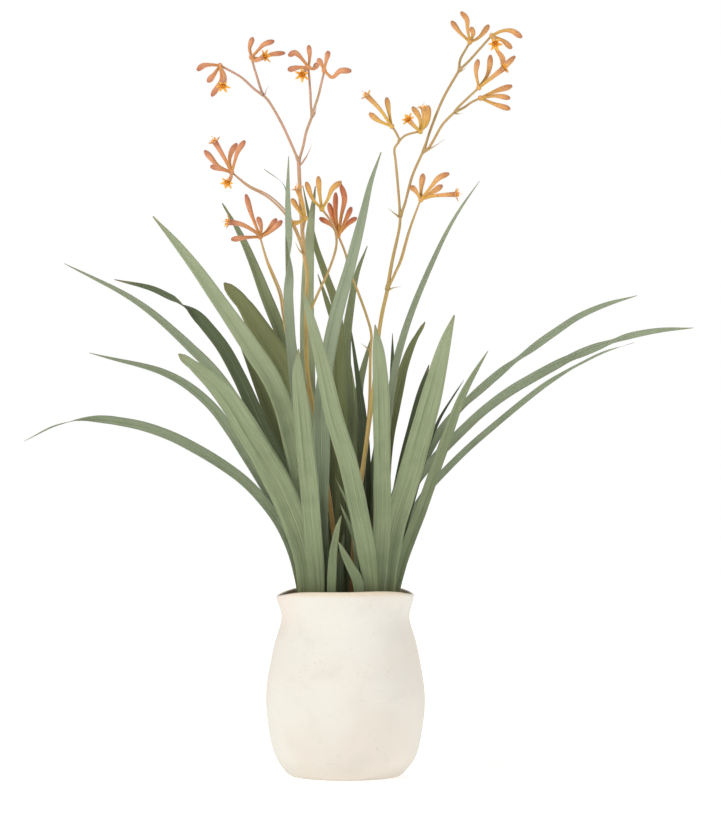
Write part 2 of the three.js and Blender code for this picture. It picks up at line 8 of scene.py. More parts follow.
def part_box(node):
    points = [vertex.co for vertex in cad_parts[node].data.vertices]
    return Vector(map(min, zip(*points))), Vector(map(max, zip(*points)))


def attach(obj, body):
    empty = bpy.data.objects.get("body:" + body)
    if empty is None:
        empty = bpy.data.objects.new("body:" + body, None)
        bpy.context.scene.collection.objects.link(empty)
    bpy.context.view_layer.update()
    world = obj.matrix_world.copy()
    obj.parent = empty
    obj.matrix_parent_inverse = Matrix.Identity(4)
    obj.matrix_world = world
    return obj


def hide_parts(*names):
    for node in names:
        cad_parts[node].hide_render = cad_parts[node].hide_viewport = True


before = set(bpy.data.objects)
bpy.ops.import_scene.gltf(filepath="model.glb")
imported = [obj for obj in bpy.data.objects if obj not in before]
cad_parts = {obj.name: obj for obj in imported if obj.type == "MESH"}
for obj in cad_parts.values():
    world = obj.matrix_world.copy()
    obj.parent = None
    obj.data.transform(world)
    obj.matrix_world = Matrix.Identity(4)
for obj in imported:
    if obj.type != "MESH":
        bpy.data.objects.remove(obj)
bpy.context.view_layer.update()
scene = bpy.context.scene
mm = 0.001
print("frame loaded:", len(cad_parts), "nodes")


studio = {
    "eye": (15, -2600, 284),       # where the camera stands, in mm
    "aim": (15, 0, 364),
    "lens": 114.3,
    "ambient": 0.3,                # how much light comes from all round
    "floorSize": 12.0,
    "paperFade": (0.3, 1.2),       # how far out the paper turns to plain white
    "lights": [                    # place, aim, size, power, colour
        ((-2.0, -1.6, 1.7), (0, 0, 0.35), 1.4, 52, (1.0, 0.988, 0.968)),
        ((2.0, -1.3, 1.1), (0, 0, 0.35), 1.7, 26, (0.975, 0.988, 1.0)),
        ((0.5, 1.8, 2.0), (0, 0, 0.4), 1.5, 24, (1.0, 1.0, 1.0)),
    ],
}


def linear(red, green, blue):
    # a display colour, 0 to 255, as the colour that the nodes work in
    def one(level):
        share = level / 255
        return share / 12.92 if share <= 0.04045 else ((share + 0.055) / 1.055) ** 2.4
    return (one(red), one(green), one(blue), 1.0)


class Wire:
    # a socket that can be worked with as a number
    def __init__(self, recipe, socket):
        self.recipe = recipe
        self.socket = socket

    def worked(self, operation, *values):
        return self.recipe.add("ShaderNodeMath", {"operation": operation}, dict(enumerate(values)))

    def math(self, operation, *others):
        return self.worked(operation, self, *others)

    def __add__(self, other):
        return self.math("ADD", other)

    def __sub__(self, other):
        return self.math("SUBTRACT", other)

    def __rsub__(self, other):
        return self.worked("SUBTRACT", other, self)

    def __mul__(self, other):
        return self.math("MULTIPLY", other)

    __radd__ = __add__
    __rmul__ = __mul__


class Recipe:
    # a node tree and the one way that nodes are put in it
    def __init__(self, owner):
        owner.use_nodes = True
        self.owner = owner
        self.tree = owner.node_tree
        self.tree.nodes.clear()

    def add(self, kind, settings=None, sockets=None, out=""):
        node = self.tree.nodes.new(kind)
        for key, value in (settings or {}).items():
            if key == "stops":
                self.setStops(node.color_ramp, value)
            else:
                setattr(node, key, value)
        for key, value in (sockets or {}).items():
            if isinstance(key, int):
                socket = node.inputs[key]
            else:
                socket = next(s for s in node.inputs if s.name == key and s.enabled)
            if isinstance(value, Wire):
                self.tree.links.new(value.socket, socket)
            else:
                socket.default_value = value
        if out:
            return Wire(self, node.outputs[out])
        found = [s for s in node.outputs if s.enabled]
        return Wire(self, found[0]) if found else None

    def setStops(self, ramp, stops):
        while len(ramp.elements) > 1:
            ramp.elements.remove(ramp.elements[-1])
        for number, (place, colour) in enumerate(stops):
            element = ramp.elements[0] if number == 0 else ramp.elements.new(place)
            element.position = place
            element.color = colour

    def coordinates(self, out):
        return self.add("ShaderNodeTexCoord", out=out)

    def stretched(self, vector, scale):
        return self.add("ShaderNodeVectorMath", {"operation": "MULTIPLY"}, {0: vector, 1: scale})

    def noise(self, vector, scale, detail=3.0, rough=0.55):
        sockets = {"Vector": vector, "Scale": scale, "Detail": detail, "Roughness": rough}
        return self.add("ShaderNodeTexNoise", {}, sockets, "Fac")

    def streaks(self, vector, scale, detail, rough=0.55):
        return self.noise(self.stretched(vector, scale), 1.0, detail, rough)

    def blend(self, share, first, second):
        sockets = {"Factor": share, "A": first, "B": second}
        return self.add("ShaderNodeMix", {"data_type": "RGBA"}, sockets)

    def coats(self, colour, *layers):
        # each layer is how much of it shows, and its display colour
        if isinstance(colour, tuple):
            colour = linear(*colour)
        for share, tone in layers:
            colour = self.blend(share, colour, linear(*tone))
        return colour

    def part(self, vector, letter):
        return self.add("ShaderNodeSeparateXYZ", {}, {"Vector": vector}, letter)

    def band(self, value, low, high):
        # 0 below low, 1 above high, or the other way round where low is above high
        settings = {"interpolation_type": "SMOOTHSTEP"}
        sockets = {"Value": value, "From Min": low, "From Max": high}
        if low > high:
            sockets = {"Value": value, "From Min": high, "From Max": low, "To Min": 1.0, "To Max": 0.0}
        return self.add("ShaderNodeMapRange", settings, sockets)

    def bump(self, height, strength, distance):
        sockets = {"Height": height, "Strength": strength, "Distance": distance}
        return self.add("ShaderNodeBump", {}, sockets)

    def surface(self, sockets):
        shader = self.add("ShaderNodeBsdfPrincipled", {}, sockets)
        self.add("ShaderNodeOutputMaterial", {}, {"Surface": shader})
        return self.owner


def newFinish(name):
    return Recipe(bpy.data.materials.new(name))


def aimAt(thing, place, target):
    thing.location = place
    thing.rotation_euler = (Vector(target) - Vector(place)).to_track_quat("-Z", "Y").to_euler()


def makeStudio():
    camera = bpy.data.objects.new("camera", bpy.data.cameras.new("camera"))
    camera.data.lens = studio["lens"]
    camera.data.clip_end = 50
    aimAt(camera, [v * mm for v in studio["eye"]], [v * mm for v in studio["aim"]])
    scene.collection.objects.link(camera)
    scene.camera = camera
    for number, (place, target, size, power, colour) in enumerate(studio["lights"]):
        light = bpy.data.lights.new(f"softbox{number}", "AREA")
        light.shape = "DISK"
        light.size = size
        light.energy = power
        light.color = colour
        lamp = bpy.data.objects.new(f"softbox{number}", light)
        aimAt(lamp, place, target)
        scene.collection.objects.link(lamp)
    air = Recipe(bpy.data.worlds.new("studioAir"))
    seen = air.add("ShaderNodeLightPath", out="Is Camera Ray")
    strength = seen * (1.0 - studio["ambient"]) + studio["ambient"]
    glow = air.add("ShaderNodeBackground", {}, {"Color": (1, 1, 1, 1), "Strength": strength})
    air.add("ShaderNodeOutputWorld", {}, {"Surface": glow})
    scene.world = air.owner
    scene.view_settings.view_transform = "Standard"
    scene.view_settings.look = "None"
    half = studio["floorSize"] / 2
    corners = [(-half, -half, 0), (half, -half, 0), (half, half, 0), (-half, half, 0)]
    mesh = bpy.data.meshes.new("floor")
    mesh.from_pydata(corners, [], [(0, 1, 2, 3)])
    floor = bpy.data.objects.new("floor", mesh)
    paper = newFinish("whitePaper")
    away = paper.add("ShaderNodeVectorMath", {"operation": "LENGTH"}, {0: paper.coordinates("Object")})
    far = paper.band(away, *studio["paperFade"])
    glow = paper.blend(far, (0.42, 0.42, 0.42, 1), (1.0, 1.0, 1.0, 1))
    base = paper.blend(far, (0.8, 0.8, 0.8, 1), (0.3, 0.3, 0.3, 1))
    sockets = {"Base Color": base, "Roughness": 0.9, "Emission Color": glow, "Emission Strength": 1.0}
    mesh.materials.append(paper.surface(sockets))
    scene.collection.objects.link(floor)


makeStudio()
print("studio ready")


class Skin:
    # gathers rows of points into one mesh, with a place across and along for each corner
    def __init__(self):
        self.points = []
        self.faces = []
        self.places = []
        self.slots = []

    def face(self, corners, places, slot):
        self.faces.append(corners)
        self.places.append(places)
        self.slots.append(slot)

    def tube(self, rings, slot=0, caps=(True, True), span=(0.0, 1.0), slots=None):
        first = len(self.points)
        count = len(rings[0])
        for ring in rings:
            self.points.extend(ring)
        rows = len(rings) - 1
        for i in range(rows):
            low = span[0] + (span[1] - span[0]) * i / rows
            high = span[0] + (span[1] - span[0]) * (i + 1) / rows
            for j in range(count):
                k = (j + 1) % count
                a = first + i * count
                u, v = j / count, (j + 1) / count
                self.face((a + j, a + k, a + count + k, a + count + j),
                          ((u, low), (v, low), (v, high), (u, high)), slots[j] if slots else slot)
        if caps[0]:
            self.cap([first + j for j in reversed(range(count))], span[0], slot)
        if caps[1]:
            last = first + rows * count
            self.cap([last + j for j in range(count)], span[1], slot)

    def cap(self, ring, along, slot):
        middle = len(self.points)
        self.points.append(sum((Vector(self.points[i]) for i in ring), Vector()) / len(ring))
        for j, corner in enumerate(ring):
            self.face((corner, ring[(j + 1) % len(ring)], middle), ((0.5, along),) * 3, slot)

    def spike(self, foot, tip, slot, along):
        first = len(self.points)
        self.points.extend(foot + [tip])
        for j in range(3):
            self.face((first + j, first + (j + 1) % 3, first + 3), ((0.5, along),) * 3, slot)

    def thread(self, points, thick, slot):
        self.tube([ringAt(spot, side, up, thick, 6) for spot, axis, side, up in frames(points)], slot)

    def bead(self, centre, axis, length, radius, slot=0, sides=8, rows=5):
        # a small egg, longer along its axis
        side, up = sidesOf(axis)
        rings = []
        for i in range(rows + 1):
            turn = pi * (0.06 + 0.88 * i / rows)
            spot = centre - axis * (cos(turn) * length / 2)
            rings.append(ringAt(spot, side, up, sin(turn) * radius, sides))
        self.tube(rings, slot)

    def make(self, name, finishes):
        mesh = bpy.data.meshes.new(name)
        mesh.from_pydata([tuple(p) for p in self.points], [], self.faces)
        for finish in finishes:
            mesh.materials.append(finish)
        layer = mesh.uv_layers.new(name="UVMap")
        flat = [value for corners in self.places for corner in corners for value in corner]
        layer.data.foreach_set("uv", flat)
        mesh.polygons.foreach_set("material_index", self.slots)
        mesh.polygons.foreach_set("use_smooth", [True] * len(self.faces))
        mesh.update()
        piece = bpy.data.objects.new(name, mesh)
        scene.collection.objects.link(piece)
        return piece


def sidesOf(axis):
    guide = Vector((0, 0, 1)) if abs(axis.z) < 0.8 else Vector((1, 0, 0))
    side = axis.cross(guide).normalized()
    return side, side.cross(axis).normalized()


def ringAt(spot, side, up, radius, sides, lobes=0.0, phase=0.0):
    ring = []
    for j in range(sides):
        turn = tau * j / sides
        reach = radius * (1 + lobes * cos(6 * turn + phase))
        ring.append(spot + side * (cos(turn) * reach) + up * (sin(turn) * reach))
    return ring


def flatRing(height, radius):
    return ringAt(Vector((0, 0, height)), Vector((1, 0, 0)), Vector((0, 1, 0)), radius, 96)


def wayOf(turn):
    return Vector((cos(turn), sin(turn), 0))


def wave(x, y, z):
    return noise.noise(Vector((x, y, z)))


def spline(points, share):
    # a point on the smooth route through points, and so through any list that adds and scales
    at = min(max(share, 0.0), 0.999999) * (len(points) - 1)
    i = int(at)
    t = at - i
    b, c = points[i], points[i + 1]
    a = points[i - 1] if i > 0 else b * 2 - c
    d = points[i + 2] if i + 2 < len(points) else c * 2 - b
    return (b * 2 + (c - a) * t + (a * 2 - b * 5 + c * 4 - d) * t ** 2
            + (b * 3 - a - c * 3 + d) * t ** 3) * 0.5


def evenRoute(points, step):
    # points about a step apart along a smooth route
    fine = [spline(points, i / (len(points) * 16)) for i in range(len(points) * 16 + 1)]
    sums = [0.0]
    for a, b in zip(fine, fine[1:]):
        sums.append(sums[-1] + (b - a).length)
    count = max(4, round(sums[-1] / step))
    route, at = [], 0
    for i in range(count + 1):
        want = sums[-1] * i / count
        while at < len(sums) - 2 and sums[at + 1] < want:
            at += 1
        gap = sums[at + 1] - sums[at]
        share = (want - sums[at]) / gap if gap > 0 else 0
        route.append(fine[at].lerp(fine[at + 1], share))
    return route


def frames(route):
    # the direction and the two side directions at each point, with no twist of their own
    rows = []
    side = None
    for i, spot in enumerate(route):
        ahead = route[min(i + 1, len(route) - 1)] - route[max(i - 1, 0)]
        axis = ahead.normalized()
        if side is None:
            side, up = sidesOf(axis)
        else:
            side = (side - axis * side.dot(axis)).normalized()
            up = side.cross(axis).normalized()
        rows.append((spot, axis, side, up))
    return rows


def swing(low, high, value):
    # 0 at low, 1 at high, and smooth between, whichever of them is larger
    t = min(max((value - low) / (high - low), 0.0), 1.0)
    return t * t * (3 - 2 * t)


def settle(piece, node, slotName):
    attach(piece, "root")
    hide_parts(node)


pot = {
    "node": "pot",
    "outline": [(54, 0), (61, 6), (71.5, 24), (78, 60), (77.5, 92), (70, 130), (63.5, 156), (68.2, 178)],
    # the lip's round edge: out and up from the end of the outline
    "lip": [(0.2, 1.4), (-0.5, 2.5), (-1.7, 2.9), (-2.8, 2.4), (-3.4, 1.2)],
    "wall": 4.6,
    "lipWall": 3.2,
    "floor": 8,
    "around": 144,
    "up": 64,
    "thinning": (150, 178),        # between these heights the wall thins to the lip's
    "neck": (138, 181),            # between these heights the uneven rim grows
    "seat": 14,                    # below this height the wall comes back to a true circle
    "dent": 0.75,                  # how far the hand-made wall wanders, in mm
    "ripple": 0.22,
    "threeSided": 0.5,
    # the uneven rim, in mm: all round, to the right, to the back, at both ends, at the four corners
    "rimRise": (2.5, 0.75, 1.4, -3.1, -1.0),
    "light": (225, 221, 211),
    "warm": (224, 215, 204),
    "grey": (214, 211, 199),
    "edge": (214, 192, 158),
    "pits": (196, 182, 156),
    "foot": (214, 206, 190),
}


def clayFinish():
    clay = newFinish("creamClay")
    place = clay.coordinates("Object")
    cloud = clay.noise(place, 9.0, 2.0)
    patch = clay.noise(place, 38.0, 4.0)
    grain = clay.noise(place, 900.0, 3.0, 0.7)
    pits = clay.noise(place, 420.0, 2.0, 0.5)
    high = clay.part(place, "Z")
    rim = clay.band(high + patch * 0.003, 0.1795, 0.1835)
    colour = clay.coats(
        pot["light"],
        (clay.band(cloud, 0.38, 0.62), pot["warm"]),
        (clay.band(patch, 0.5, 0.75) * 0.5, pot["grey"]),
        (clay.band(pits, 0.66, 0.76) * 0.3, pot["pits"]),
        (rim * 0.55, pot["edge"]),
        (clay.band(high, 0.02, 0.0) * 0.25, pot["foot"]))
    rings = (high * 1500.0 + cloud * 9.0).math("SINE")
    height = grain * 0.35 + patch * 0.9 - clay.band(pits, 0.64, 0.74) * 0.8 + rings * 0.05
    normal = clay.bump(height, 0.55, 0.0006)
    rough = clay.band(patch, 0.3, 0.7) * 0.12 + 0.74
    sockets = {"Base Color": colour, "Roughness": rough, "Normal": normal, "Specular IOR Level": 0.3}
    return clay.surface(sockets)


def makePot():
    low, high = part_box(pot["node"])
    width = (high.x - low.x) / 2 / mm / max(r for r, z in pot["outline"])
    outline = [Vector((r * width, 0, z)) for r, z in pot["outline"]]
    up = pot["up"]
    outer = [spline(outline, i / up) for i in range(up + 1)]
    top = outer[-1]
    lip = [Vector((top.x + out, 0, top.z + rise)) for out, rise in pot["lip"]]
    inner = []
    for i in range(up, -1, -1):
        spot = outer[i]
        if spot.z > pot["floor"] + 4:
            wall = pot["wall"] + (pot["lipWall"] - pot["wall"]) * swing(*pot["thinning"], spot.z)
            inner.append(Vector((spot.x - wall, 0, spot.z)))
    inner += [Vector((pot["outline"][0][0] - 4, 0, pot["floor"] + 1)), Vector((40, 0, pot["floor"]))]
    base = [Vector((46, 0, 0.35)), Vector((51.5, 0, 0))]
    rings = []
    for spot in base + outer + lip + inner:
        ring = []
        for j in range(pot["around"]):
            turn = tau * j / pot["around"]
            way = wayOf(turn)
            high = swing(*pot["neck"], spot.z)
            swells = (1, cos(turn), sin(turn), cos(2 * turn), cos(4 * turn))
            rise = high * sum(amount * swell for amount, swell in zip(pot["rimRise"], swells))
            seat = swing(0, pot["seat"], spot.z)
            wander = wave(way.x * 1.5 + 3, way.y * 1.5 + 7, spot.z * 0.022 + 1)
            fine = wave(way.x * 4.5, way.y * 4.5, spot.z * 0.07)
            reach = spot.x + seat * (wander * pot["dent"] + fine * pot["ripple"])
            reach += high * pot["threeSided"] * sin(3 * turn)
            ring.append((way * reach + Vector((0, 0, spot.z + rise))) * mm)
        rings.append(ring)
    skin = Skin()
    skin.tube(rings)
    piece = skin.make("clayPot", [clayFinish()])
    settle(piece, pot["node"], "pot_clay")


makePot()
print("pot ready")


soil = {
    "node": "soil",
    "radius": 57.4,
    "depths": [(0.9, 0), (1.02, 20), (1.12, 50), (1.12, 90)],     # share of deepRadius, mm above the foot
    "deepRadius": 54,
    "crumbs": 620,
    "chips": 60,
    "crumb": (1.0, 2.8),
    "mix": ((44, 34, 26), (84, 64, 46)),
    "bark": ((104, 74, 48), (150, 116, 80)),
    "fleck": (128, 104, 78),
}
crown = {
    "node": "crown",
    # width as a share of the node's, whether from its foot or its top, and height from there in mm
    "outline": [(0.97, "foot", 0), (1.0, "foot", 2), (0.98, "top", -2.5), (0.93, "top", -0.8),
                (0.8, "top", 0), (0.6, "top", 0), (0.4, "top", 0), (0.2, "top", 0)],
    "stubs": 74,
    "stubTall": (6, 13.5),
    "stubWide": (2, 3.8),
    "husk": ((96, 78, 44), (150, 122, 74)),
    "heart": ((58, 50, 28), (92, 84, 44)),
}


def soilFinish(name, tones):
    earth = newFinish(name)
    place = earth.coordinates("Object")
    lump = earth.noise(place, 160.0, 4.0)
    fine = earth.noise(place, 900.0, 4.0, 0.7)
    colour = earth.coats(
        tones[0],
        (earth.band(lump, 0.35, 0.7), tones[1]),
        (earth.band(fine, 0.6, 0.8) * 0.4, soil["fleck"]))
    normal = earth.bump(lump + fine * 0.6, 0.8, 0.0012)
    sockets = {"Base Color": colour, "Roughness": 0.92, "Normal": normal}
    return earth.surface(sockets)


def crumb(skin, draw, spot, size, slot):
    axis = Vector((draw.uniform(-1, 1), draw.uniform(-1, 1), draw.uniform(-1, 1))).normalized()
    skin.bead(spot, axis, size * draw.uniform(1.1, 1.9), size * draw.uniform(0.4, 0.6), slot, 6, 4)


def makeSoil():
    draw = random.Random(11)
    low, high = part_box(soil["node"])
    top = high.z
    skin = Skin()
    rings = []
    for share, height in soil["depths"]:
        rings.append(flatRing(low.z + height * mm, soil["deepRadius"] * mm * share))
    for i in range(16, 0, -1):
        ring = flatRing(top, soil["radius"] * mm * i / 16)
        for spot in ring:
            spot.z += 0.0014 * noise.noise(spot * 110) - 0.0006
        rings.append(ring)
    skin.tube(rings)
    for number in range(soil["crumbs"] + soil["chips"]):
        turn = draw.uniform(0, tau)
        # two in three lie in the ring by the wall that can be seen
        reach = soil["radius"] * (0.86 + 0.13 * draw.random()) if number % 3 else 56.5 * draw.random()
        spot = wayOf(turn) * (reach * mm) + Vector((0, 0, top + draw.uniform(-0.0006, 0.0007)))
        chip = number >= soil["crumbs"]
        crumb(skin, draw, spot, draw.uniform(*soil["crumb"]) * mm * (1.15 if chip else 1), int(chip))
    finishes = [soilFinish("pottingMix", soil["mix"]), soilFinish("barkChips", soil["bark"])]
    settle(skin.make("pottingMix", finishes), soil["node"], "potting_mix")


def makeCrown():
    # the fibrous stock, with the stubs of old sheaths round it
    draw = random.Random(5)
    low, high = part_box(crown["node"])
    radius = (high.x - low.x) / 2
    levels = {"foot": low.z, "top": high.z}
    skin = Skin()
    rings = []
    for share, level, rise in crown["outline"]:
        ring = flatRing(levels[level] + rise * mm, radius * share)
        for spot in ring:
            knot = noise.noise(spot * 90)
            spot.z += knot * 0.0012
            spot.xy = spot.xy * (1 - 0.02 * abs(knot))
        rings.append(ring)
    skin.tube(rings)
    for number in range(crown["stubs"]):
        growStub(skin, tau * (number + draw.uniform(-0.4, 0.4)) / crown["stubs"], radius, high.z, draw)
    finishes = [soilFinish("crownFibre", crown["heart"]), soilFinish("oldSheath", crown["husk"])]
    settle(skin.make("crownStock", finishes), crown["node"], "crown")


def growStub(skin, turn, radius, top, draw):
    way = wayOf(turn)
    across = Vector((-way.y, way.x, 0))
    foot = way * (radius * draw.uniform(0.55, 0.97)) + Vector((0, 0, top - 0.003))
    tall = draw.uniform(*crown["stubTall"]) * mm
    lean = way * draw.uniform(0.0, 0.35) * tall
    wide = draw.uniform(*crown["stubWide"]) * mm
    rings = []
    # height, how far it has leant out, and how wide and thick it is there
    for rise, leant, width, depth in ((0, 0, 1, 1), (0.5, 0.3, 0.8, 0.8), (1, 1, 0.18, 0.4)):
        spot = foot + Vector((0, 0, tall * rise)) + lean * leant
        half = across * (wide * width)
        thin = way * (0.00035 * depth)
        rings.append([spot - thin, spot + half, spot + thin, spot - half])
    skin.tube(rings, 1)


makeSoil()
makeCrown()
print("soil and crown ready")


leaf = {
    "step": 5.5,                   # how far apart the rows are, in mm
    "across": 10,                  # faces from edge to edge, on each side
    "thick": 0.7,
    "fold": 0.2,                   # how deep the blade is folded, as a share of its half width
    "folds": {"left_4": 0.62, "left_5": 0.5, "left_6": 0.24, "left_7": 0.3, "left_8": 0.45, "front_4": 0.4,
              "upright_4": 0.3, "upright_5": 0.4, "right_1": 0.4, "right_6": 0.35, "back_5": 0.4,
              "back_7": 0.4},
    # where a blade turns part of the way over and back: share of its length, degrees, how far it spreads
    "turns": {"left_1": [(1.0, -26, 0.14)], "left_2": [(0.6, 26, 0.25)], "left_3": [(0.6, 30, 0.25)],
              "left_5": [(0.5, -18, 0.12)], "left_6": [(0.55, -14, 0.12)], "left_8": [(0.6, -24, 0.1)],
              "upright_3": [(0.55, -28, 0.08)], "upright_4": [(0.5, 24, 0.1)],
              "upright_7": [(0.45, 34, 0.08)], "right_3": [(1.0, 26, 0.14)],
              "right_4": [(0.72, 42, 0.03), (0.82, -42, 0.03)],
              "right_5": [(0.52, 42, 0.05), (0.68, -42, 0.04)]},
    # how far a blade arches up before its drooping tip, as a share of its length
    "arches": {"left_2": 0.006, "left_3": 0.005, "left_4": 0.004, "left_6": 0.009, "right_4": 0.005,
               "right_5": 0.006},
    # inner leaves whose lower part is a broad sheath
    "fuller": {"back_4": 1.8, "back_5": 1.3, "back_7": 1.3, "back_6": 1.15, "back_1": 1.3},
    # blades that are broad to the end, and the share of the length from which the end is rounded off
    "broad": {"left_6": (1.04, 0.95), "left_7": (1.35, 0.93), "left_8": (1.12, 0.98), "right_6": (1.1, 0.96)},
    # a leaf deep in the tuft that has no node of its own: half its width, and its route, in mm
    "inner": {"left_9": (9.5, [(-31, 1.5, 168), (-40, 2, 240), (-56, 2.5, 304), (-76, 3, 362),
                               (-96, 3.5, 412), (-112, 4, 446)])},
    "ribs": 0.03,
    "wander": 0.5,
    "edgeWave": 0.035,
    "margin": (196, 196, 150),
    "foot": (112, 112, 66),
    "burnt": (150, 134, 92),
    "specks": (112, 98, 62),
    "tones": {                     # the blade, its pale streaks and its shade
        "sage": ((132, 143, 105), (165, 174, 139), (92, 106, 70)),
        "grey": ((127, 138, 107), (160, 170, 141), (88, 101, 72)),
        "moss": ((114, 125, 84), (146, 155, 116), (76, 88, 50)),
        "olive": ((106, 113, 68), (138, 144, 98), (72, 80, 40)),
        # deep: a darker copy of the blade finish, painted shade for leaves inside the tuft
        "deep": ((66, 77, 50), (96, 107, 74), (38, 46, 26)),
    },
    "kinds": {
        "olive": ["left_7", "right_6", "upright_3", "back_4"],
        # these leaves get the darker deep copy of the blade finish, painted shade
        "deep": ["left_4", "back_1", "back_3", "front_5", "young_5", "right_2", "back_5", "back_7"],
        "moss": ["left_8", "upright_2", "back_2", "back_6", "upright_6"],
        "grey": ["left_1", "left_2", "left_3", "upright_1", "upright_5", "upright_7", "right_3", "right_4",
                 "right_5"],
    },
}


def leafFinish(name, tones):
    main, pale, shade = tones
    blade = newFinish(name)
    place = blade.coordinates("Object")
    flat = blade.coordinates("UV")
    across = blade.part(flat, "X")
    along = blade.part(flat, "Y")
    side = (across * 2.0).math("PINGPONG", 0.5) * 2.0     # 0 at the edges and on the midrib
    drift = blade.streaks(flat, (7.0, 9.0, 1.0), 2.0)
    streak = blade.streaks(flat, (130.0, 5.0, 1.0), 3.0, 0.6)
    fine = blade.streaks(flat, (420.0, 16.0, 1.0), 2.0, 0.6)
    cloud = blade.noise(place, 26.0, 3.0)
    ribs = (across * 176.0 + drift * 3.0).math("SINE")
    wide = blade.streaks(flat, (26.0, 2.2, 1.0), 2.0)
    rib = blade.band(side, 0.9, 0.985)
    high = blade.part(place, "Z")
    burnt = blade.band(along + cloud * 0.03, 0.97, 1.005)
    specks = blade.band(blade.noise(place, 330.0, 2.0), 0.7, 0.76)
    colour = blade.coats(
        main,
        (blade.band(streak, 0.4, 0.66), pale),
        (blade.band(wide, 0.48, 0.66) * 0.7, shade),
        (blade.band(cloud, 0.46, 0.7) * 0.3, shade),
        (blade.band(fine, 0.5, 0.72) * 0.4, shade),
        (blade.band(ribs, -0.2, 1.0) * 0.2, shade),
        (rib * 0.3, pale),
        (blade.band(side, 0.07, 0.0) * 0.5, leaf["margin"]),
        # painted light: higher up, the blades are lightened towards their pale tone; painted shade: low in
        # the tuft, they are darkened towards their shade tone
        (blade.band(high, 0.28, 0.52) * 0.6, pale),
        (blade.band(high, 0.28, 0.19) * 0.4, shade),
        (blade.band(along, 0.14, 0.0) * 0.6, leaf["foot"]),
        (burnt * 0.4, leaf["burnt"]),
        (specks * 0.35, leaf["specks"]))
    height = ribs * 0.4 + streak * 0.8 + fine * 0.5 + rib * 0.9
    normal = blade.bump(height, 0.55, 0.00035)
    rough = blade.band(streak, 0.3, 0.7) * 0.14 + 0.5
    sockets = {"Base Color": colour, "Roughness": rough, "Normal": normal, "Specular IOR Level": 0.35}
    return blade.surface(sockets)


def readSpine(node):
    # the stations of a CAD leaf: middle, half width across, and half thickness outwards
    bm = bmesh.new()
    bm.from_mesh(node.data)
    bmesh.ops.remove_doubles(bm, verts=bm.verts, dist=0.00001)
    low = min(v.co.z for v in bm.verts)
    ring = [v for v in bm.verts if v.co.z < low + 0.00002]
    seen = set(ring)
    stations = []
    across = Vector((1, 0, 0))
    while ring:
        if len(ring) >= 4:
            middle = sum((v.co for v in ring), Vector()) / len(ring)
            reach = sorted((v.co - middle for v in ring), key=lambda arm: -arm.length)
            wide = reach[0]
            thin = min(reach[:4], key=lambda arm: abs(arm.dot(wide)) / (arm.length * wide.length + 1e-12))
            if stations and wide.length < thin.length * 1.5:
                if abs(thin.normalized().dot(across)) > abs(wide.normalized().dot(across)):
                    wide, thin = thin, wide
            if wide.dot(across) < 0:
                wide = -wide
            across = wide.normalized()
            stations.append((middle, across, wide.length, thin.length))
        ahead = []
        for v in ring:
            for edge in v.link_edges:
                other = edge.other_vert(v)
                if other not in seen:
                    seen.add(other)
                    ahead.append(other)
        ring = ahead
    bm.free()
    return stations


def makeLeaf(name, stations, finish, draw):
    middles = [s[0] for s in stations]
    acrosses = [s[1] for s in stations]
    widths = [Vector((s[2], 0, 0)) for s in stations]
    passed = [0.0]
    for a, b in zip(middles, middles[1:]):
        passed.append(passed[-1] + (b - a).length)
    length = passed[-1]
    rows = max(18, round(length / (leaf["step"] * mm)))
    seed = draw.uniform(0, 50)
    broad, rounded = leaf["broad"].get(name, (1, 1))
    rings = []
    for i in range(rows + 1):
        station = i / rows
        share = spline(passed, station) / length
        spot = spline(middles, station)
        axis = (spline(middles, station + 0.01) - spline(middles, station - 0.01)).normalized()
        across = spline(acrosses, station)
        across = (across - axis * across.dot(axis)).normalized()
        out = across.cross(axis).normalized()
        half = max(0.00012, spline(widths, station).x)
        half *= (1 + (leaf["fuller"].get(name, 1) - 1) * swing(0.9, 0.5, share)) * broad
        if share <= rounded:
            shoulder = half
        else:
            half = max(half, shoulder * sqrt(max(0, 1 - ((share - rounded) / (1 - rounded)) ** 2)))
        ease = sin(pi * min(1, share * 1.05)) * 0.9 + 0.1
        sway = wave(share * 6, seed, 0) * leaf["wander"] * mm * ease
        arch = leaf["arches"].get(name, 0) * length * sin(pi * swing(0.6, 1.0, share))
        spot = spot + (Vector((0, 0, 1)) - axis * axis.z).normalized() * arch
        curl = wave(share * 4, seed, 9) * 0.16 * ease
        for where, degrees, spread in leaf["turns"].get(name, []):
            curl += radians(degrees) * exp(-((share - where) / spread) ** 2)
        turned = across * cos(curl) + out * sin(curl)
        out = out * cos(curl) - across * sin(curl)
        half *= 1 + wave(share * 9, seed, 4) * leaf["edgeWave"] * 2
        fold = leaf["folds"].get(name, leaf["fold"]) * (1 - 0.55 * swing(0.35, 1.0, share))
        thick = leaf["thick"] * mm * (1.5 - share) * min(1, half / 0.0025 + 0.15)
        top, bottom = [], []
        for j in range(leaf["across"] + 1):
            u = j / leaf["across"] * 2 - 1
            keel = fold * half * (sqrt(u * u + 0.015) - 0.5)
            pleat = leaf["ribs"] * half * cos(u * pi * 3.0 + seed)
            ripple = abs(u) ** 3 * half * 0.10 * wave(share * 16, seed + (3 if u > 0 else 0), 2)
            place = spot + out * (keel + pleat + ripple + sway) + turned * (u * half)
            edge = max(0.12, 1 - abs(u) ** 3)
            top.append(place + out * (thick / 2 * edge))
            bottom.append(place - out * (thick / 2 * edge))
        rings.append(top + list(reversed(bottom)))
    skin = Skin()
    skin.tube([list(reversed(ring)) for ring in rings])
    spreadAcross(skin, len(rings[0]))
    return skin.make("strapLeaf_" + name, [finish])


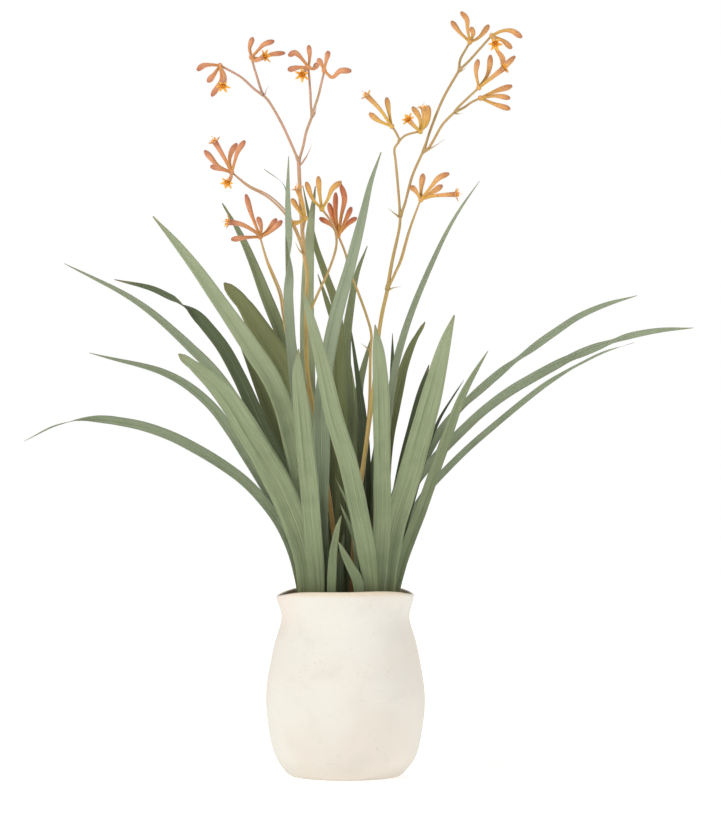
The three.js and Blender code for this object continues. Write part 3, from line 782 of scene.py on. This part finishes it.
def spreadAcross(skin, count):
    # both faces of a blade run from 0 to 1 across it, so that ribs and midrib lie back to back
    half = count / 2
    for number, corners in enumerate(skin.places):
        if len(corners) == 4:
            j = number % count
            fix = []
            for place, (u, v) in enumerate(corners):
                column = j + (1 if place in (1, 2) else 0)
                if j < half - 1:
                    u = column / (half - 1)
                elif j == half - 1:
                    u = 1.0
                elif j == count - 1:
                    u = 0.0
                else:
                    u = 1 - (column - half) / (half - 1)
                fix.append((min(max(u, 0.0), 1.0), v))
            skin.places[number] = tuple(fix)


def makeLeaves():
    draw = random.Random(3)
    finishes = {tone: leafFinish(tone + "Leaf", colours) for tone, colours in leaf["tones"].items()}
    toneOf = {name: tone for tone, names in leaf["kinds"].items() for name in names}
    for node in sorted(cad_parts):
        if node.startswith("leaf_"):
            name = node.removeprefix("leaf_")
            finish = finishes[toneOf.get(name, "sage")]
            settle(makeLeaf(name, readSpine(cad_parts[node]), finish, draw), node, "leaf")
    for name, (half, route) in leaf["inner"].items():
        stations = []
        for i, spot in enumerate(route):
            taper = 1 - (i / (len(route) - 1)) ** 2.6
            stations.append((Vector(spot) * mm, Vector((1, -0.2, 0)), half * taper * mm, 0))
        piece = makeLeaf(name, stations, finishes["olive"], draw)
        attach(piece, "root")


makeLeaves()
print("leaves ready")


plantDrop = 6                      # heights below are counted from this far under the pot's foot, in mm


def spotOf(place):
    return Vector((place[0], place[1], place[2] - plantDrop)) * mm


leftFork = (-46.5, -24, 616)
leftTop = (-82, -26, 682)
middleTop = (-33, -24, 661.5)
rightFork = (41.5, -36, 487)
rightMiddle = (54.5, -32, 560)
rightNode = (48.7, -28, 628)
rightTop = (77.5, -22, 626)
rightCrest = (113.5, -14.5, 708.5)
rightArm = (108.8, -34, 664)

stem = {
    "sides": 12,
    "step": 2.6,
    "radii": {"base": 2.4, "mid": 1.9, "branch": 1.35, "twig": 1.15},
    "bractWide": 1.9,
    "bractStep": 1.2,
    "low": (190, 162, 88),
    "high": (190, 152, 108),
    "pink": (188, 144, 122),
    "olive": (172, 144, 80),
    "brown": (132, 92, 34),
    "green": (160, 138, 84),
    "down": (222, 178, 128),
    "dark": (140, 84, 48),
    "joint": 1.45,                 # how much a shoot swells where it springs from another
    # shoots that are two fine strands side by side, and how far the second stands off
    "doubled": {"stem_left": [7, 8], "stem_right": [2], "stem_middle": []},
    "beside": (1.5, -1.2, 1.3),
    "shoots": {
        "stem_left": [
            ("base", "mid", [(-3, -8, 170), (-6, -9, 195), (-16, -13, 280), (-30, -17, 360), (-38, -20, 410),
                (-39, -22, 470), (-38, -23, 502), (-41, -24, 524), (-43, -24, 550), (-45, -24, 584),
                leftFork]),
            ("branch", "branch", [leftFork, (-52, -24, 629), (-63, -25, 653), (-75, -26, 674), leftTop]),
            ("branch", "twig", [leftTop, (-90, -29, 687), (-104, -33, 699), (-122.5, -36.5, 709)]),
            ("branch", "twig", [leftTop, (-85, -20, 691), (-90, -16, 707), (-94, -11.5, 721)]),
            ("branch", "branch", [leftFork, (-42, -24, 631), (-39, -24, 645), middleTop]),
            ("branch", "twig", [middleTop, (-34.5, -20, 673), (-35, -14, 685), (-37, -7.5, 711)]),
            ("branch", "twig", [middleTop, (-30, -30, 671), (-26.5, -34, 681), (-21, -38.5, 703.5)]),
            ("branch", "twig", [(-41, -24, 524), (-50, -22, 547), (-61, -20, 565), (-77.5, -18, 581),
                (-97, -16, 592), (-112, -15, 605)]),
            ("branch", "twig", [(-33, -18, 375), (-47, -15, 410), (-58, -13, 440), (-62.5, -12, 464),
                (-66, -11, 485), (-75, -10, 508), (-79, -10, 519), (-85, -11.5, 541)]),
            ("twig", "twig", [(-42, -24, 536), (-42, -29, 546), (-39.5, -34, 557)]),
            ("branch", "twig", [(-39, -22, 462), (-33, -20, 472), (-26, -17, 488), (-16, -13, 510),
                (-9, -12, 534), (-12, -13, 553), (-23, -14.7, 569)]),
        ],
        "stem_right": [
            ("base", "mid", [(5, -14.5, 170), (7, -17, 210), (10, -21, 260), (20, -27, 330), (28, -31, 390),
                (34, -33, 450), rightFork]),
            ("mid", "branch", [rightFork, (46, -35, 514), (53, -33, 546), rightMiddle]),
            ("branch", "twig", [rightFork, (49, -38, 504), (54.5, -40, 517), (63, -42, 546),
                (74, -44.7, 575)]),
            ("branch", "branch", [rightMiddle, (59.5, -30, 575), (66, -26, 600), (74, -23, 619), rightTop]),
            ("branch", "twig", [rightMiddle, (51.5, -30, 598), (49.8, -29, 616), rightNode, (53.4, -27, 636),
                (51, -27, 643), (46.6, -27.7, 650)]),
            ("twig", "twig", [(52.6, -27, 635), (58.4, -25, 641), (64, -24, 643.5), (73.5, -23, 646)]),
            ("branch", "branch", [rightTop, (79.5, -21, 632), (86.5, -19, 653), (98, -17, 681), rightCrest]),
            ("branch", "twig", [rightCrest, (114.5, -12, 719), (119.5, -10, 729), (124.3, -8.3, 737)]),
            ("branch", "twig", [rightCrest, (117.5, -17, 712), (125, -20, 719), (144.6, -26.8, 740.3)]),
            ("branch", "branch", [rightTop, (84, -24, 631), (95, -28, 650), (101.5, -31, 657.5), rightArm]),
            ("branch", "twig", [rightArm, (113, -36, 669.5), (131.3, -40.8, 686.3)]),
            ("branch", "twig", [rightArm, (117, -33, 668), (125, -30, 674), (133, -28.7, 678)]),
        ],
        "stem_middle": [
            ("mid", "twig", [(6, 3, 170), (8, 4, 240), (18, 6, 310), (20.5, 7, 338), (24, 9, 377),
                (25, 11, 428), (26, 12, 445), (22, 12, 462), (12, 12, 490), (4, 12, 509), (0, 10, 527),
                (-7, 7.8, 544.5)]),
        ],
    },
    "bracts": {
        "stem_left": [[(-46, -24, 610), (-39, -27, 619), (-33, -30, 632)],
                      [(-40, -25, 521), (-46, -28, 527), (-50, -31, 536)],
                      [(-81, -26, 680), (-79, -29, 686), (-76, -31, 691)],
                      [(-33, -24, 660), (-30, -22, 666), (-29, -20, 672)]],
        "stem_right": [[(41.5, -36, 485), (47, -38, 488.5), (55.5, -41, 490)],
                       [(54, -32, 558), (48, -35, 563), (42, -38, 568)],
                       [(77.5, -22, 624), (89, -25, 631), (99.5, -28, 638)],
                       [(113, -14, 706), (118, -13, 709), (121, -12, 713)],
                       [(108, -34, 662), (112, -31, 662), (117, -29, 664)]],
        "stem_middle": [[(25, 11, 427), (21, 9, 432), (15, 7, 437)]],
    },
}


def stemFinish():
    bark = newFinish("downyStem")
    place = bark.coordinates("Object")
    high = bark.part(place, "Z")
    left = bark.part(place, "X")
    cloud = bark.noise(place, 45.0, 3.0)
    fibre = bark.noise(bark.stretched(place, (1.0, 1.0, 0.12)), 1500.0, 3.0, 0.7)
    down = bark.noise(place, 2600.0, 2.0, 0.8)
    pink = bark.band(high, 0.50, 0.66) * bark.band(left, 0.02, -0.03)
    colour = bark.coats(
        stem["low"],
        (bark.band(high, 0.40, 0.62), stem["high"]),
        (pink * 0.85, stem["pink"]),
        (bark.band(left, 0.0, 0.03) * 0.55, stem["olive"]),
        (bark.band(high, 0.34, 0.2), stem["brown"]),
        (bark.band(cloud, 0.45, 0.7) * 0.5, stem["green"]),
        (bark.band(fibre, 0.52, 0.75) * 0.4, stem["down"]),
        (bark.band(down, 0.6, 0.8) * 0.3, stem["dark"]))
    normal = bark.bump(fibre + down * 0.7, 0.7, 0.0003)
    sockets = {"Base Color": colour, "Roughness": 0.82, "Normal": normal,
               "Sheen Weight": 0.35, "Sheen Roughness": 0.5}
    return bark.surface(sockets)


def growShoot(skin, route, start, end, seed, swell):
    rows = frames(evenRoute([spotOf(p) for p in route], stem["step"] * mm))
    rings = []
    for i, (spot, axis, side, up) in enumerate(rows):
        share = i / (len(rows) - 1)
        radius = (start + (end - start) * share) * mm
        radius *= 1 + swell * (stem["joint"] - 1) * swing(0.12, 0.0, share)
        radius *= 1 + 0.07 * wave(share * 14, seed, 0)
        spot = spot + side * (0.35 * mm * wave(share * 9, seed, 5) * sin(share * pi))
        rings.append(ringAt(spot, side, up, radius, stem["sides"]))
    skin.tube(rings)


def growBract(skin, route, wide):
    rows = frames(evenRoute([spotOf(p) for p in route], stem["bractStep"] * mm))
    rings = []
    for i, (spot, axis, side, up) in enumerate(rows):
        share = i / (len(rows) - 1)
        belly = 0.55 + 0.45 * sin(pi * min(1, share * 1.6))
        flat = wide * mm * belly * (1 - share ** 2.2) + 0.00012
        ring = []
        for j in range(10):
            turn = tau * j / 10
            rise = sin(turn) * 0.0004 * (1 - share) + 0.45 * flat * cos(turn) ** 2
            ring.append(spot + side * (cos(turn) * flat) + up * rise)
        rings.append(ring)
    skin.tube(rings)


def makeStems():
    finish = stemFinish()
    radii = stem["radii"]
    for name, shoots in stem["shoots"].items():
        skin = Skin()
        for number, (start, end, route) in enumerate(shoots):
            slim = 0.8 if number in stem["doubled"][name] else 1
            growShoot(skin, route, radii[start] * slim, radii[end] * slim, number * 3.1, int(number > 0))
            if slim < 1:
                second = []
                for i, spot in enumerate(route):
                    off = sin(pi * min(1, (i + 0.6) / (len(route) - 0.4))) * 1.2
                    second.append(tuple(v + off * b for v, b in zip(spot, stem["beside"])))
                growShoot(skin, second, radii["twig"] * 0.8, radii["twig"] * 0.75, number * 2.3, 0)
        for route in stem["bracts"][name]:
            growBract(skin, route, stem["bractWide"])
        settle(skin.make(name.replace("stem_", "flowerStem_"), [finish]), name, "stem")


makeStems()
print("stems ready")


floret = {
    "sides": 18,
    "rows": 22,
    "bud": [1.25, 1.4, 1.45, 1.5, 1.6, 1.8, 2.1, 2.45, 2.75, 2.85, 2.5, 1.2],
    "open": [1.3, 1.5, 1.6, 1.75, 1.95, 2.15, 2.4, 2.65, 2.9],
    "lobes": 0.055,
    "knob": 2.7,
    "clawLength": 6.2,
    "clawWide": 1.6,
    "hairs": 230,
    "hairLength": (0.45, 0.95),
    "hairThick": 0.055,
    "throatDepths": [(1.0, 0), (0.93, 0.6), (0.75, 3), (0.5, 5.5), (0.2, 7)],   # share of the mouth, mm deep
    "stamen": 3.4,
    "stamenThick": 0.22,
    "styleThick": 0.24,
    "anther": (1.9, 0.55),
    "throat": ((238, 166, 50), (248, 196, 88)),
    "pollen": ((236, 148, 26), (250, 190, 56)),
    "down": (248, 196, 140),
    # how far across, through and cupped each corner of a claw's section is
    "claw": [(-1, 0, 0), (-0.5, 1, 1), (0, 1, 1.2), (0.5, 1, 1), (1, 0, 0), (0.5, -1, 1), (0, -1, 1.2),
             (-0.5, -1, 1)],
    # tone, where the florets join, the routes of the closed buds and those of the open florets
    "clusters": {
        "left_1": ("coral", (-124, -37, 709.5), [
            [(-132, -42, 709.5), (-140, -46, 708), (-146, -48, 703)], [(-131, -30, 701), (-137, -26, 695)],
            [(-123, -41, 694), (-132, -44, 678)]],
            [[(-119, -47, 697), (-120, -57, 686)]]),
        "left_2": ("coral", (-94, -11, 722), [
            [(-96, -8, 732), (-93, -6, 743)], [(-87, -14, 729), (-81, -18, 734), (-71, -20, 737)],
            [(-84, -6, 722), (-74, 0, 727), (-61, 4, 729)]],
            [[(-90, -16, 718), (-80, -25, 721)]]),
        "left_3": ("coral", (-37, -7, 712.5), [
            [(-36, -3, 724), (-37, 0, 736)], [(-43, -10, 720), (-50, -14, 726), (-57, -16, 723)],
            [(-47, -4, 713), (-58, -2, 711)], [(-32, -3, 712), (-28, 3, 718)]],
            [[(-41, -12, 708), (-43, -20, 703)]]),
        "left_4": ("coral", (-21, -39, 704.5), [
            [(-19, -42, 713), (-16.5, -44, 723)], [(-13, -42, 697), (-5, -44, 703), (6, -45, 703)],
            [(-23, -33, 710), (-27, -26, 718)]], []),
        "left_5": ("coral", (-113.5, -15, 606), [
            [(-127, -11, 613), (-135, -9, 622), (-141, -7, 629)],
            [(-116, -7, 619), (-114, -3, 629), (-109, -1, 637)],
            [(-110, -18, 618), (-107, -20, 627), (-100, -22, 637)], [(-122, -21, 608), (-134, -26, 611)]],
            [[(-120, -18, 619), (-130, -24, 636)], [(-114, -23, 600), (-117, -30, 594)]]),
        "left_6": ("coral", (-85, -12, 542), [
            [(-100, -14, 541), (-114, -15, 539)], [(-89, -6, 552), (-95, -2, 568), (-100, 1, 586)],
            [(-84, -17, 551), (-87, -21, 561)], [(-77, -7, 550), (-69, -3, 561)],
            [(-76, -16, 546), (-63, -22, 557)]],
            [[(-91, -20, 547), (-103, -26, 553), (-116, -30, 555)]]),
        "left_7": ("gold", (-39.5, -34.5, 558), [
            [(-46, -33, 566), (-53, -33, 578)], [(-46, -38, 554), (-55, -40, 552)]],
            [[(-42, -37, 571), (-47, -39, 587)]]),
        "middle_1": ("gold", (-23.5, -15, 569.5), [
            [(-33, -19, 580), (-39, -21, 596)], [(-26, -17, 587), (-27, -17, 602)],
            [(-18, -19, 578), (-13, -21, 589), (-4, -24, 596)]], []),
        "middle_2": ("rust", (-7.5, 8, 545.5), [
            [(-10, 10, 570), (-10, 12, 589)], [(-4, 4, 566), (-1, 1, 582), (-5, -2, 596)],
            [(-12, 13, 560), (-17, 18, 579)], [(1, 2, 562), (6, -1, 573)], [(3, 12, 558), (11, 16, 564)],
            [(-14, 3, 555), (-26, -2, 562)]], []),
        "right_1": ("gold", (46, -28, 650.5), [
            [(33, -22, 657), (24, -18, 665)], [(43.5, -25, 664), (41, -23, 680)]],
            [[(34, -33, 667), (21, -37, 680)]]),
        "right_2": ("gold", (74.5, -23, 646), [
            [(74, -17, 660), (67, -13, 672)], [(82, -18, 656), (83, -14, 673)]],
            [[(78, -27, 654), (78, -31, 668)], [(68, -29, 651), (62, -38, 656)]]),
        "right_3": ("amber", (124.5, -8, 738), [
            [(114, -9, 748), (106, -9, 759)], [(128, -4, 747), (126, -1, 754)],
            [(122, -15, 750), (121, -19, 759), (115, -21, 766)],
            [(132, -4, 742), (138, -1, 748), (144, 3, 757)]], []),
        "right_4": ("amber", (145.5, -27, 741), [
            [(155, -30, 745), (165, -32, 745), (175, -34, 738)], [(157, -21, 737), (166, -17, 730)],
            [(150, -22, 729), (156, -19, 721), (158, -17, 713)]],
            [[(147, -35, 736), (148, -44, 730)]]),
        "right_5": ("amber", (74.5, -45, 575.5), [
            [(75, -40, 588), (77, -37, 602)], [(84, -50, 587), (92, -54, 596), (102, -57, 600)],
            [(85, -38, 583), (96, -33, 591)], [(69, -49, 584), (64, -52, 588)]],
            [[(88, -48, 579), (109, -52, 580)]]),
        "right_6": ("amber", (132, -41, 687), [
            [(129, -45, 702), (131, -48, 714)], [(140, -36, 699), (143, -33, 709), (144, -31, 721)],
            [(145, -40, 697), (156, -38, 707), (168, -36, 719)]],
            [[(142, -48, 694), (156, -56, 704)]]),
        "right_7": ("amber", (134, -28.5, 678.5), [
            [(149, -24, 686), (166, -20, 692)], [(149, -33, 680), (163, -38, 677)],
            [(148, -26, 673), (164, -25, 668)]], []),
    },
    "tones": {                     # foot, middle, head, tip
        "coral": ((200, 142, 68), (206, 138, 84), (212, 146, 106), (172, 100, 72)),
        "rust": ((210, 154, 62), (210, 140, 76), (206, 122, 80), (168, 86, 56)),
        "gold": ((198, 156, 54), (214, 170, 78), (216, 164, 92), (186, 124, 72)),
        "amber": ((200, 154, 58), (212, 160, 80), (214, 156, 98), (176, 110, 66)),
    },
}


def petalFinish(name, tones):
    petal = newFinish(name)
    place = petal.coordinates("Object")
    flat = petal.coordinates("UV")
    along = petal.part(flat, "Y")
    cloud = petal.noise(place, 150.0, 3.0)
    streak = petal.streaks(flat, (34.0, 4.0, 1.0), 3.0, 0.65)
    down = petal.noise(place, 2400.0, 3.0, 0.8)
    share = along + cloud * 0.16 - 0.08
    stops = [(level, linear(*tone)) for level, tone in zip((0.0, 0.35, 0.72, 1.0), tones)]
    colour = petal.coats(
        petal.add("ShaderNodeValToRGB", {"stops": stops}, {"Fac": share}, "Color"),
        (petal.band(streak, 0.48, 0.75) * 0.5, tones[0]),
        (petal.band(cloud, 0.55, 0.75) * 0.4, tones[3]),
        (petal.band(down, 0.5, 0.8) * 0.35, floret["down"]))
    normal = petal.bump(down * 0.9 + streak * 0.6, 0.6, 0.00035)
    sockets = {"Base Color": colour, "Roughness": 0.8, "Normal": normal,
               "Sheen Weight": 0.5, "Sheen Roughness": 0.45, "Sheen Tint": (1.0, 0.86, 0.7, 1)}
    return petal.surface(sockets)


def throatFinish(name, tones):
    throat = newFinish(name)
    place = throat.coordinates("Object")
    cloud = throat.noise(place, 400.0, 3.0)
    colour = throat.coats(tones[0], (throat.band(cloud, 0.4, 0.7), tones[1]))
    sockets = {"Base Color": colour, "Roughness": 0.7, "Normal": throat.bump(cloud, 0.4, 0.0004)}
    return throat.surface(sockets)


def growTube(skin, route, radii, draw, closed):
    points = [spotOf(p) for p in route]
    length = sum((b - a).length for a, b in zip(points, points[1:]))
    rows = frames(evenRoute(points, length / floret["rows"]))
    phase = draw.uniform(0, tau)
    grow = draw.uniform(0.94, 1.06)
    rings = []
    for i, (spot, axis, side, up) in enumerate(rows):
        share = i / (len(rows) - 1)
        radius = spline(radii, share) * mm * grow
        rings.append(ringAt(spot, side, up, radius, floret["sides"], floret["lobes"], phase))
    skin.tube(rings, 0, (True, closed))
    growHairs(skin, rings, rows, draw)
    return rows[-1], spline(radii, 1.0) * mm * grow, phase


def growHairs(skin, rings, rows, draw):
    # short down that leans towards the tip
    for number in range(floret["hairs"]):
        i = draw.randrange(1, len(rings) - 1)
        j = draw.randrange(len(rings[0]))
        root = rings[i][j].lerp(rings[i][(j + 1) % len(rings[0])], draw.random())
        root = root + rows[i][1] * (draw.uniform(-0.5, 0.5) * (rings[1][0] - rings[0][0]).length)
        out = (root - rows[i][0]).normalized()
        way = (out + rows[i][1] * draw.uniform(0.2, 0.9)).normalized()
        length = draw.uniform(*floret["hairLength"]) * mm
        side = way.cross(rows[i][1]).normalized() * (floret["hairThick"] * mm)
        up = way.cross(side).normalized() * (floret["hairThick"] * mm)
        root = root - out * 0.0002
        skin.spike([root + side, root - side * 0.5 + up * 0.87, root - side * 0.5 - up * 0.87],
                   root + way * length, 0, i / (len(rings) - 1))


def growClaws(skin, mouth, radius, phase, draw):
    # six pointed lobes that curl back round a yellow throat
    spot, axis, side, up = mouth
    for k in range(6):
        turn = tau * k / 6 + phase
        way = side * cos(turn) + up * sin(turn)
        over = way.cross(axis).normalized()
        length = floret["clawLength"] * mm * draw.uniform(0.85, 1.12)
        curl = draw.uniform(0.75, 1.15)
        rings = []
        for i in range(9):
            share = i / 8
            bend = share * curl * 1.5
            out = way * (radius * 0.92 + length * sin(bend) / 1.5 / curl * 1.05)
            lift = axis * (length * (0.55 * share - 0.5 * (1 - cos(bend)) * 0.7))
            half = floret["clawWide"] * mm * (1 - share ** 1.8) * (1 - 0.15 * share) + 0.00008
            facing = (axis * cos(bend) - way * sin(bend)).normalized()
            centre = spot + out + lift
            thin = 0.00042 * (1 - 0.7 * share)
            cup = half * 0.35
            ring = []
            for wide, deep, cupped in floret["claw"]:
                ring.append(centre + over * (half * wide) + facing * (thin * deep - cup * cupped))
            rings.append(ring)
        skin.tube(rings, 0, slots=(1, 1, 1, 1, 0, 0, 0, 0), span=(0.55, 1.0))


def growThroat(skin, mouth, radius, draw):
    spot, axis, side, up = mouth
    rings = []
    for share, depth in floret["throatDepths"]:
        rings.append(ringAt(spot - axis * (depth * mm), side, up, radius * share, floret["sides"]))
    skin.tube(rings, 1, (False, True))
    long, thick = floret["anther"]
    for k in range(6):
        turn = tau * (k + 0.5) / 6
        way = side * cos(turn) + up * sin(turn)
        foot = spot + way * (radius * 0.6) - axis * 0.001
        reach = floret["stamen"] * mm * draw.uniform(0.8, 1.15)
        head = foot + axis * reach + way * (0.0012 * draw.random())
        skin.thread([foot, foot.lerp(head, 0.5), head], floret["stamenThick"] * mm, 1)
        skin.bead(head, (head - foot).normalized(), long * mm, thick * mm, 2, 8, 6)
    tip = spot + axis * (floret["stamen"] * 1.7 * mm) + side * 0.0006
    skin.thread([spot - axis * 0.003, spot + axis * 0.002, tip], floret["styleThick"] * mm, 1)
    skin.bead(tip, axis, 0.0009, 0.00042, 1, 6, 4)


def makeFlowers():
    draw = random.Random(21)
    petals = {tone: petalFinish(tone + "Petal", colours) for tone, colours in floret["tones"].items()}
    throat = throatFinish("orangeThroat", floret["throat"])
    pollen = throatFinish("pollen", floret["pollen"])
    for name, (tone, base, buds, opens) in floret["clusters"].items():
        skin = Skin()
        heart = spotOf(base)
        skin.bead(heart, Vector((0, 0, 1)), floret["knob"] * 2.1 * mm, floret["knob"] * mm, 0, 16, 10)
        for route in buds:
            growTube(skin, [base] + route, floret["bud"], draw, True)
        for route in opens:
            mouth, radius, phase = growTube(skin, [base] + route, floret["open"], draw, False)
            growThroat(skin, mouth, radius, draw)
            growClaws(skin, mouth, radius, phase, draw)
        piece = skin.make("florets_" + name, [petals[tone], throat, pollen])
        settle(piece, "flowers_" + name, "flower_coral" if tone in ("coral", "rust") else "flower_gold")


makeFlowers()
print("flowers ready")
